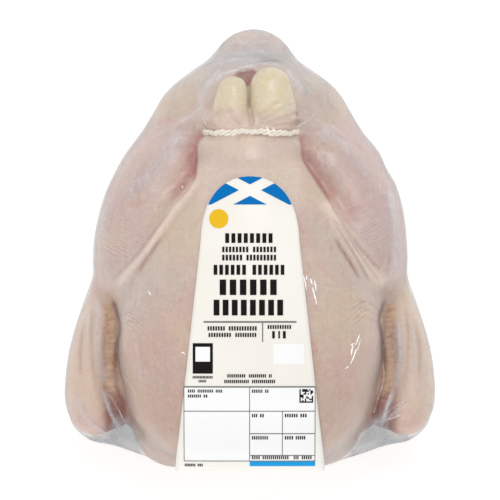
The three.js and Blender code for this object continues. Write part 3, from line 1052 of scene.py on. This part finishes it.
def film_material():
    s = Shader("clear_film")
    cloud = s.noise(30, 4, 0.6, 0.6)
    pulled = s.noise(70, 4, 0.6, 0.8, (2.2, 0.5, 1.0))
    ripple = s.noise(160, 3, 0.5, 1.0, (1.6, 0.6, 1.0))
    patchy = s.ramp(s.noise(45, 2, 0.5), 0.42, 0.62)
    lines = s.math("MAXIMUM", film_lines(s, 34, (1.7, 0.45, 1.0)), film_lines(s, 52, (0.7, 1.1, 1.0)))
    web = s.attribute("web")
    haze = s.ramp(cloud, 0.35, 0.75, 0.02, 0.12)
    for more in (
        s.ramp(pulled, 0.55, 0.8, 0.0, 0.1),
        s.times(s.times(lines, patchy), 0.14),
        # Pale streaks of milky film, partly painted sheen where light catches them.
        s.times(s.attribute("veil"), s.ramp(pulled, 0.3, 0.65, 0.3, 0.75)),
        s.times(s.attribute("gap"), 0.06),
        s.times(web, s.ramp(ripple, 0.3, 0.7, 0.38, 0.44)),
        # Painted rim: the film is more opaque where it turns away from the camera.
        s.times(s.ramp(s.facing(), 0.46, 1.0, 0.0, 0.5), s.attribute("open")),
    ):
        haze = s.plus(haze, more)
    # Painted reflection and shade at the outline: pale where the film turns away, grey at the very edge.
    tone = s.mix(s.ramp(s.facing(), 0.46, 0.9), rgb(230, 227, 232), rgb(120, 126, 132))
    # Grey where the film spans free at the lower corners: partly the doubled film's tint, partly painted
    # shade.
    tone = s.mix(web, tone, rgb(156, 161, 165))
    tone = s.mix(s.times(s.times(lines, web), 0.25), tone, rgb(190, 195, 198))
    normal = s.bump(pulled, 0.35, 0.002, s.bump(ripple, 0.2, 0.001))
    s.set(Base_Color=tone, Roughness=0.14, Alpha=s.math("MINIMUM", haze, 0.9), Normal=normal)
    s.set(IOR=1.45, Specular_IOR_Level=0.34)
    return s.material


def build_film():
    points, faces, normals = fitted_surface(film, FILM_STEP)
    masks = film_masks(points, normals)
    ridge = RIDGE_HEIGHT * masks["veil"] * smooth_step(points[:, 2], *RIDGE_SPAN)
    piece = mesh_object("film", points + normals * ridge[:, None], faces, [film_material()], masks)
    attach(piece, "root")
    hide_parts("bagged_chicken")


CREASE_STEP = 1.2
CREASE_HEIGHT = 0.16
CREASE_SPREAD = (2.3, 1.15)
CREASE_FOOT = 0.15
ABOVE_ALL = 122.0


def crease_path(pixels):
    """Plan places along a crease, about a step apart."""
    knots = padded(plan(pixels))
    length = np.linalg.norm(np.diff(knots[1:-1], axis=0), axis=1).sum()
    count = max(5, math.ceil(length / CREASE_STEP))
    return curve_at(knots, np.linspace(0, len(knots) - 3, count))[0]


def ribbon(p, normal, width):
    """A low ridge along points of the film, tapering to both ends."""
    count = len(p)
    across = unit(np.cross(np.gradient(p, axis=0), normal))
    taper = np.sqrt(np.sin(math.pi * np.linspace(0.03, 0.97, count)))[:, None]
    half = across * width * 0.5 * taper
    crest = p + normal * width * CREASE_HEIGHT * taper
    foot = p - normal * CREASE_FOOT
    points = np.stack([foot - half, crest, foot + half], 1).reshape(-1, 3)
    i, j = np.meshgrid(np.arange(count - 1), np.arange(3), indexing="ij")
    a, b = (i * 3 + j).ravel(), (i * 3 + (j + 1) % 3).ravel()
    faces = [tuple(f) for f in np.stack([a, b, b + 3, a + 3], 1)]
    end = (count - 1) * 3
    return points, faces + [(0, 2, 1), (end, end + 1, end + 2)]


def crease_material(name, low, high, tone, painted_glow):
    s = Shader(name)
    broken = s.noise(260, 3, 0.6)
    s.set(Base_Color=s.mix(s.ramp(broken, 0.3, 0.7), rgb(*tone), rgb(252, 252, 252)))
    s.set(Alpha=s.ramp(broken, 0.35, 0.65, low, high), Roughness=0.12)
    # The emission is painted light: the ribbons shine though they are no lamp.
    s.set(Normal=s.bump(broken, 0.3, 0.0006), Emission_Color=(1.0, 1.0, 1.0, 1.0), Emission_Strength=painted_glow)
    return s.material


def build_creases():
    """Low ridges on the film. Creases have the first material and glints the second."""
    lines = [(0, *crease) for crease in CREASES] + [(1, *glint) for glint in GLINTS]
    paths = [crease_path(pixels) for _, _, pixels in lines]
    xy = np.vstack(paths)
    up = np.broadcast_to([0.0, 0.0, 1.0], (len(xy), 3))
    p = outer_hits(film, np.column_stack([xy, np.zeros(len(xy))]), up, 0.0, ABOVE_ALL)
    normal = unit(slope_of(film, p))
    points, faces, inks = [], [], []
    done = 0
    for (ink, width, _), path in zip(lines, paths):
        here = slice(done, done + len(path))
        more, sides = ribbon(p[here], normal[here], width * CREASE_SPREAD[ink])
        faces += [tuple(v + 3 * done for v in side) for side in sides]
        inks += [ink] * len(sides)
        points.append(more)
        done += len(path)
    materials = [
        # Film creases glow faintly as painted light; glints are painted highlights that glow.
        crease_material("film_crease", 0.03, 0.26, (250, 246, 250), 0.06),
        crease_material("film_glint", 0.5, 0.92, (255, 255, 255), 0.4),
    ]
    piece = mesh_object("film_creases", np.vstack(points), faces, materials, inks=inks)
    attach(piece, "root")
    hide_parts("bagged_chicken")


# The paper label, given as half widths at places along the bird.

LABEL_TOP = 41.7
LABEL_SHOULDER = (25.6, 23.9)
LABEL_SIDE = (5.7, 27.8)
LABEL_FRONT = (-125.0, 42.3)
LABEL_TURN_AT = -90.0
LABEL_LIP_HEIGHT = 50.0
LABEL_TIP_HALF = 3.0
LABEL_STIFF = (0.7, 1.4)
LABEL_GAP = 0.5
LABEL_THICKNESS = 0.35
LABEL_ROWS = 72
LABEL_TURNED_ROWS = 30
LABEL_COLUMNS = 30


def label_half_width(y):
    """The label's half width: a round top, curved shoulders, then straight sides that spread downward."""
    rise = LABEL_TOP - LABEL_SHOULDER[0]
    radius = (LABEL_SHOULDER[1] ** 2 + rise**2) / (2 * rise)
    dome = np.sqrt(np.maximum(radius**2 - (y - LABEL_TOP + radius) ** 2, 0))
    t = (LABEL_SHOULDER[0] - y) / (LABEL_SHOULDER[0] - LABEL_SIDE[0])
    upper = LABEL_SHOULDER[1] + (LABEL_SIDE[1] - LABEL_SHOULDER[1]) * (2 * t - t * t)
    down = (LABEL_SIDE[0] - y) / (LABEL_SIDE[0] - LABEL_FRONT[0])
    lower = LABEL_SIDE[1] + (LABEL_FRONT[1] - LABEL_SIDE[1]) * down
    return np.where(y >= LABEL_SHOULDER[0], dome, np.where(y >= LABEL_SIDE[0], upper, lower))


def label_rows():
    """Where each row of the label starts, as y, and how far it has turned over the neck end."""
    flat = np.linspace(LABEL_TOP, LABEL_TURN_AT, LABEL_ROWS + 1)
    turns = np.linspace(0, math.pi / 2, LABEL_TURNED_ROWS + 1)[1:]
    y = np.concatenate([flat, np.full(len(turns), LABEL_TURN_AT)])
    return y, np.concatenate([np.zeros(len(flat)), turns])


def label_points(x, y, turn, level):
    """Points at a level above the film: straight down on the breast, then round the neck end, where the
    paper is stiff and hangs straight across."""
    outward = np.stack([np.zeros(len(x)), -np.sin(turn), np.cos(turn)], 1)
    origins = np.stack([x, y, np.full(len(x), LABEL_LIP_HEIGHT)], 1)
    p = outer_hits(film, origins, outward, level, 90.0)
    stiffness = smooth_step(turn, *LABEL_STIFF)
    straight = np.minimum(p[:, 1], LABEL_FRONT[0] + LABEL_GAP - level)
    p[:, 1] += (straight - p[:, 1]) * stiffness
    return p


def label_sheet(level):
    """A grid of points over the whole label, at a level above the film."""
    y, turn = label_rows()
    centre = label_points(np.zeros(len(y)), y, turn, level)
    half = np.maximum(label_half_width(centre[:, 1]), LABEL_TIP_HALF)
    share = np.linspace(-1, 1, LABEL_COLUMNS + 1)
    x = (half[:, None] * share[None, :]).ravel()
    return label_points(x, np.repeat(y, len(share)), np.repeat(turn, len(share)), level)


def plate(lower, upper, across, down):
    """A closed thin plate between two like grids of points."""
    count = across * down
    i, j = np.meshgrid(np.arange(down - 1), np.arange(across - 1), indexing="ij")
    a = (i * across + j).ravel()
    under = np.stack([a, a + 1, a + across + 1, a + across], 1)
    over = np.stack([a, a + across, a + across + 1, a + 1], 1) + count
    first = list(range(across))
    right = [k * across + across - 1 for k in range(1, down)]
    last = [(down - 1) * across + k for k in range(across - 2, -1, -1)]
    left = [k * across for k in range(down - 2, 0, -1)]
    rim = np.array(first + right + last + left)
    ahead = np.roll(rim, -1)
    walls = np.stack([ahead, rim, rim + count, ahead + count], 1)
    return np.vstack([lower, upper]), np.vstack([under, over, walls])


def paper_material():
    s = Shader("label_paper")
    fibre = s.noise(900, 4, 0.6)
    soft = s.noise(22, 2, 0.5)
    base = s.mix(s.ramp(soft, 0.35, 0.65), rgb(247, 243, 234), rgb(250, 247, 240))
    s.set(Base_Color=base, Roughness=s.ramp(fibre, 0.3, 0.7, 0.42, 0.52), Normal=s.bump(fibre, 0.08, 0.0003))
    s.set(Specular_IOR_Level=0.4, Coat_Weight=0.1, Coat_Roughness=0.3)
    return s.material


def build_label():
    lower = label_sheet(LABEL_GAP)
    upper = label_sheet(LABEL_GAP + LABEL_THICKNESS)
    points, faces = plate(lower, upper, LABEL_COLUMNS + 1, LABEL_ROWS + LABEL_TURNED_ROWS + 1)
    piece = mesh_object("paper_label", points, faces, [paper_material()])
    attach(piece, "root")
    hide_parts("label")


# The print: plain fields of colour that lie on the label. Places are photograph pixels.

INK, BLUE, YELLOW, CYAN, WHITE, LINE = range(6)
INK_COLOURS = (
    ("ink_black", (24, 22, 22)),
    ("ink_blue", (0, 114, 190)),
    ("ink_yellow", (240, 192, 40)),
    ("ink_cyan", (0, 160, 230)),
    ("ink_white", (254, 254, 254)),
    ("ink_line", (112, 112, 112)),
)
PRINT_LIFT = 0.10
PRINT_THICKNESS = 0.05
PRINT_CELL = 2.6
FLAG_MIDDLE = (250.0, 190.6)
FLAG_SLOPE = 0.52
FLAG_HALF_BAND = 5.7
FIELD_BLEED = 0.05
FLAG_FOOT = 204.9
DOME_MIDDLE_Y = 221.4
DOME_RADIUS = 44.7
DISC_MIDDLE = (219.0, 219.0)
DISC_RADIUS = 9.5

# Rows of plain blocks on the label: top, bottom, and the spans that they fill from left to right.
BLOCK_ROWS = [
    (233.5, 243.0, [(225.5, 274.5)]),
    (246.8, 252.2, [(222.5, 249.5), (253, 277)]),
    (254.8, 260.4, [(222.5, 243.5), (246.5, 277)]),
    (264.8, 274.6, [(214, 248), (252.5, 286)]),
    (279.4, 294.6, [(220, 280)]),
    (299.4, 314.8, [(214, 286)]),
    (325.6, 329.8, [(208, 226), (229, 257.5)]),
    (332.2, 336.2, [(209, 232), (235.5, 257)]),
    (324.4, 328.2, [(267.5, 291.5)]),
    (330.4, 337.6, [(272, 276), (278, 280.6), (282.6, 287)]),
    (373.2, 376.4, [(227.5, 246), (249, 266.5), (268.8, 272)]),
    (378.8, 382.0, [(224.5, 249.5), (252, 275.5)]),
    (375.0, 377.4, [(193.2, 213.4)]),
    (379.0, 381.2, [(199, 207)]),
    (388.4, 391.4, [(188.5, 196), (198, 214), (216, 223)]),
    (393.4, 396.4, [(188.5, 202), (204, 208.5)]),
    (388.4, 391.6, [(252, 263), (265, 269)]),
    (412.6, 416.0, [(252, 258), (260, 264.5)]),
    (412.6, 416.0, [(284.6, 298), (300, 307)]),
    (434.8, 438.2, [(252, 268.5)]),
    (434.8, 438.2, [(284.6, 293.6), (295.4, 305.6)]),
    (455.0, 458.2, [(252, 260.5), (262.5, 289), (293.5, 299), (301.5, 312)]),
    (463.0, 465.6, [(185, 196), (198, 203.5)]),
]
BLOCK_PITCH = 0.62
BLOCK_GAP = 0.36

# The table, its rules and the plain fields as left, top, right and bottom; posts as middle, top and bottom.
TABLE = (184.5, 385.5, 315.0, 460.0)
TABLE_MIDDLE = 249.6
TABLE_SPLIT = 282.2
LINE_WIDTH = 0.75
RULES = [
    (204, 320.6, 296, 322.0),
    (262.0, 321.5, 263.0, 341.2),
    (184.5, 385.2, 315.0, 386.4),
    (184.5, 409.6, 315.0, 410.4),
    (TABLE_MIDDLE, 432.0, 315.0, 432.8),
    (TABLE_MIDDLE, 454.0, 315.0, 454.8),
    (184.5, 459.6, 315.0, 460.4),
]
POSTS = [
    (184.5, 385.5, 460.0), (TABLE_MIDDLE, 385.5, 460.0), (TABLE_SPLIT, 410.0, 454.4), (314.6, 385.5, 460.0),
]
DARK_FIELD = (193.2, 342.4, 213.2, 372.6)
DARK_FIELD_WINDOW = (196.0, 346.0, 210.4, 360.6)
WHITE_BOX = (273.0, 343.2, 303.4, 363.6)
CYAN_STRIP = (249.6, 460.6, 315.0, 465.4)
SPECKLED_SQUARE = (299.0, 388.0, 312.6, 401.6)
SPECKLED_ROWS = 10


def label_height_table():
    """The label's top as heights over a regular plan grid, for the print to lie on."""
    x = np.arange(-44.0, 44.1, 2.0)
    y, turn = label_rows()
    level = LABEL_GAP + LABEL_THICKNESS
    p = label_points(np.repeat(x, len(y)), np.tile(y, len(x)), np.tile(turn, len(x)), level)
    p = p.reshape(len(x), len(y), 3)
    places = np.arange(-124.5, 41.6, 0.5)
    heights = np.stack([np.interp(-places, -column[:, 1], column[:, 2]) for column in p])
    return x, places, heights


def height_at(table, x, y):
    xs, ys, heights = table
    u = np.clip((x - xs[0]) / (xs[1] - xs[0]), 0, len(xs) - 1.001)
    v = np.clip((y - ys[0]) / (ys[1] - ys[0]), 0, len(ys) - 1.001)
    i, j = u.astype(int), v.astype(int)
    fu, fv = u - i, v - j
    low = heights[i, j] * (1 - fu) + heights[i + 1, j] * fu
    high = heights[i, j + 1] * (1 - fu) + heights[i + 1, j + 1] * fu
    return low * (1 - fv) + high * fv


def on_label(table, x, y, lift):
    """Points over the plan places x and y, lifted off the label along its outward direction."""
    reach = 0.8
    z = height_at(table, x, y)
    sx = (height_at(table, x + reach, y) - height_at(table, x - reach, y)) / (2 * reach)
    sy = (height_at(table, x, y + reach) - height_at(table, x, y - reach)) / (2 * reach)
    return np.stack([x, y, z], 1) + unit(np.stack([-sx, -sy, np.ones(len(x))], 1)) * lift


class Print:
    """Gathers coloured fields into one mesh."""

    def __init__(self, table):
        self.table = table
        self.points = []
        self.faces = []
        self.inks = []
        self.count = 0

    def field(self, rows, left, right, ink, layer=0):
        """A field from pixel row to pixel row, between left and right edges given for each row."""
        width = float(np.max(np.asarray(right) - np.asarray(left))) * MM_PER_PIXEL
        across = max(2, math.ceil(width / PRINT_CELL) + 1)
        share = np.linspace(0, 1, across)
        left, right = np.broadcast_to(left, len(rows)), np.broadcast_to(right, len(rows))
        px = (left[:, None] * (1 - share) + right[:, None] * share).ravel()
        place = plan(np.stack([px, np.repeat(rows, across)], 1))
        lift = PRINT_LIFT + layer * PRINT_THICKNESS * 1.6
        lower = on_label(self.table, place[:, 0], place[:, 1], lift)
        upper = on_label(self.table, place[:, 0], place[:, 1], lift + PRINT_THICKNESS)
        points, faces = plate(lower, upper, across, len(rows))
        self.points.append(points)
        self.faces.append(faces + self.count)
        self.inks.append(np.full(len(faces), ink))
        self.count += len(points)

    def box(self, corners, ink, layer=0):
        left, top, right, bottom = corners
        tall = (bottom - top) * MM_PER_PIXEL
        rows = np.linspace(top, bottom, max(2, math.ceil(tall / PRINT_CELL) + 1))
        self.field(rows, left, right, ink, layer)


def print_flag(sheet):
    """A plain diagonal cross on blue, in the label's round top."""
    middle, apex = FLAG_MIDDLE

    def dome_half(rows):
        return np.sqrt(np.maximum(DOME_RADIUS**2 - (rows - DOME_MIDDLE_Y) ** 2, 0))

    rows = np.linspace(DOME_MIDDLE_Y - DOME_RADIUS + 0.1, apex - FLAG_HALF_BAND, 12)
    half = np.minimum(dome_half(rows), (apex - FLAG_HALF_BAND - rows) / FLAG_SLOPE) + FIELD_BLEED
    sheet.field(rows, middle - half, middle + half, BLUE)
    rows = np.linspace(apex + FLAG_HALF_BAND, FLAG_FOOT, 6)
    half = (rows - apex - FLAG_HALF_BAND) / FLAG_SLOPE + FIELD_BLEED
    sheet.field(rows, middle - half, middle + half, BLUE)
    rows = np.linspace(apex - 12, FLAG_FOOT, 60)
    inner = (np.abs(rows - apex) + FLAG_HALF_BAND) / FLAG_SLOPE
    outer = dome_half(rows)
    shown = outer > inner + 0.1
    rows, inner, outer = rows[shown], inner[shown], outer[shown]
    sheet.field(rows, middle - outer, middle - inner, BLUE)
    sheet.field(rows, middle + inner, middle + outer, BLUE)


def print_disc(sheet):
    """A plain yellow disc."""
    rows = DISC_MIDDLE[1] + DISC_RADIUS * np.sin(np.linspace(-math.pi / 2, math.pi / 2, 21))
    half = np.sqrt(np.maximum(DISC_RADIUS**2 - (rows - DISC_MIDDLE[1]) ** 2, 0)) + FIELD_BLEED
    sheet.field(rows, DISC_MIDDLE[0] - half, DISC_MIDDLE[0] + half, YELLOW)


def print_rows(sheet):
    """Rows of plain upright blocks."""
    for top, bottom, spans in BLOCK_ROWS:
        pitch = (bottom - top) * BLOCK_PITCH
        for left, right in spans:
            count = max(1, round((right - left) / pitch))
            step = (right - left) / count
            for k in range(count):
                start = left + k * step
                sheet.box((start, top, start + step * (1 - BLOCK_GAP), bottom), INK, 1)


def print_table(sheet):
    sheet.box(TABLE, WHITE)
    for rule in RULES:
        sheet.box(rule, LINE, 1)
    for x, top, bottom in POSTS:
        sheet.box((x - LINE_WIDTH / 2, top, x + LINE_WIDTH / 2, bottom), LINE, 1)
    sheet.box(CYAN_STRIP, CYAN)
    sheet.box(WHITE_BOX, WHITE)


def print_dark_field(sheet):
    """A dark block with a bare window."""
    sheet.box(DARK_FIELD, INK)
    sheet.box(DARK_FIELD_WINDOW, WHITE, 1)


def print_speckles(sheet):
    """A square of dark and light cells, drawn by chance, with a dark left and lower edge."""
    draw = np.random.default_rng(12)
    left, top, right, _ = SPECKLED_SQUARE
    cell = (right - left) / SPECKLED_ROWS
    for row in range(SPECKLED_ROWS):
        for column in range(SPECKLED_ROWS):
            if draw.random() < 0.5 or column == 0 or row == SPECKLED_ROWS - 1:
                x, y = left + column * cell, top + row * cell
                sheet.box((x, y, x + cell, y + cell), INK, 1)


def ink_material(name, colour):
    s = Shader(name)
    grain = s.noise(700, 3, 0.6)
    pale = tuple(c + (255 - c) * 0.03 for c in colour)
    s.set(Base_Color=s.mix(s.ramp(grain, 0.4, 0.7), rgb(*colour), rgb(*pale)))
    s.set(Roughness=s.ramp(grain, 0.3, 0.7, 0.5, 0.6), Normal=s.bump(grain, 0.05, 0.0002))
    s.set(Specular_IOR_Level=0.06)
    return s.material


def build_print():
    sheet = Print(label_height_table())
    print_flag(sheet)
    print_disc(sheet)
    print_rows(sheet)
    print_table(sheet)
    print_dark_field(sheet)
    print_speckles(sheet)
    materials = [ink_material(name, colour) for name, colour in INK_COLOURS]
    points, faces, inks = np.vstack(sheet.points), np.vstack(sheet.faces), np.concatenate(sheet.inks)
    piece = mesh_object("label_print", points, faces, materials, inks=inks, smooth=False)
    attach(piece, "root")
    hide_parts("label")


# Stage, lights and camera.


FLOOR_GLOW = 0.35
FLOOR_HALF = 6.0
FLOOR_DROP = 0.0003
WORLD_LIGHT = 0.55
FOCUS_HEIGHT = 0.05


def build_floor():
    mesh = bpy.data.meshes.new("floor")
    height = cad_box[0][2] - FLOOR_DROP
    corners = [(-1, -1), (1, -1), (1, 1), (-1, 1)]
    mesh.from_pydata([(x * FLOOR_HALF, y * FLOOR_HALF, height) for x, y in corners], [], [(0, 1, 2, 3)])
    floor = bpy.data.objects.new("floor", mesh)
    bpy.context.scene.collection.objects.link(floor)
    s = Shader("pale_floor")
    s.set(Base_Color=rgb(250, 250, 250), Roughness=0.9, Specular_IOR_Level=0.1)
    s.set(Emission_Color=(1.0, 1.0, 1.0, 1.0), Emission_Strength=FLOOR_GLOW)
    mesh.materials.append(s.material)
    floor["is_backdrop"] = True


def area_light(name, place, size, power):
    """A square light that points at the bird."""
    light = bpy.data.lights.new(name, "AREA")
    light.shape = "SQUARE"
    light.size = size
    light.energy = power
    lamp = bpy.data.objects.new(name, light)
    bpy.context.scene.collection.objects.link(lamp)
    direction = np.array([0.0, 0.0, FOCUS_HEIGHT]) - place
    lamp.location = place
    lamp.rotation_euler = (
        math.acos(-direction[2] / np.linalg.norm(direction)),
        0.0,
        math.atan2(direction[1], direction[0]) - math.pi / 2,
    )


def build_lights():
    world = bpy.data.worlds.new("studio")
    world.use_nodes = True
    backdrop = world.node_tree.nodes["Background"]
    backdrop.inputs["Color"].default_value = (1.0, 1.0, 1.0, 1.0)
    backdrop.inputs["Strength"].default_value = WORLD_LIGHT
    bpy.context.scene.world = world
    area_light("key", (0.2, 1.3, 1.9), 0.9, 19)
    area_light("fill", (-0.5, -1.6, 1.5), 1.6, 14)


def build_camera():
    lens = bpy.data.cameras.new("camera")
    lens.sensor_width = 36.0
    view_width = PHOTO_PIXELS * MM_PER_PIXEL / 1000.0
    lens.lens = lens.sensor_width * (CAMERA_HEIGHT - FOCUS_HEIGHT) / view_width
    camera = bpy.data.objects.new("camera", lens)
    camera.location = (0.0, 0.0, CAMERA_HEIGHT)
    bpy.context.scene.collection.objects.link(camera)
    bpy.context.scene.camera = camera


bpy.context.scene.view_settings.view_transform = "Standard"
build_camera()
build_floor()
build_lights()
build_bird()
build_tie()
build_film()
build_creases()
build_label()
build_print()

boxes = {"cad": cad_box, "visual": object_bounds()}
{key: [list(map(float, corner)) for corner in box] for key, box in boxes.items()}
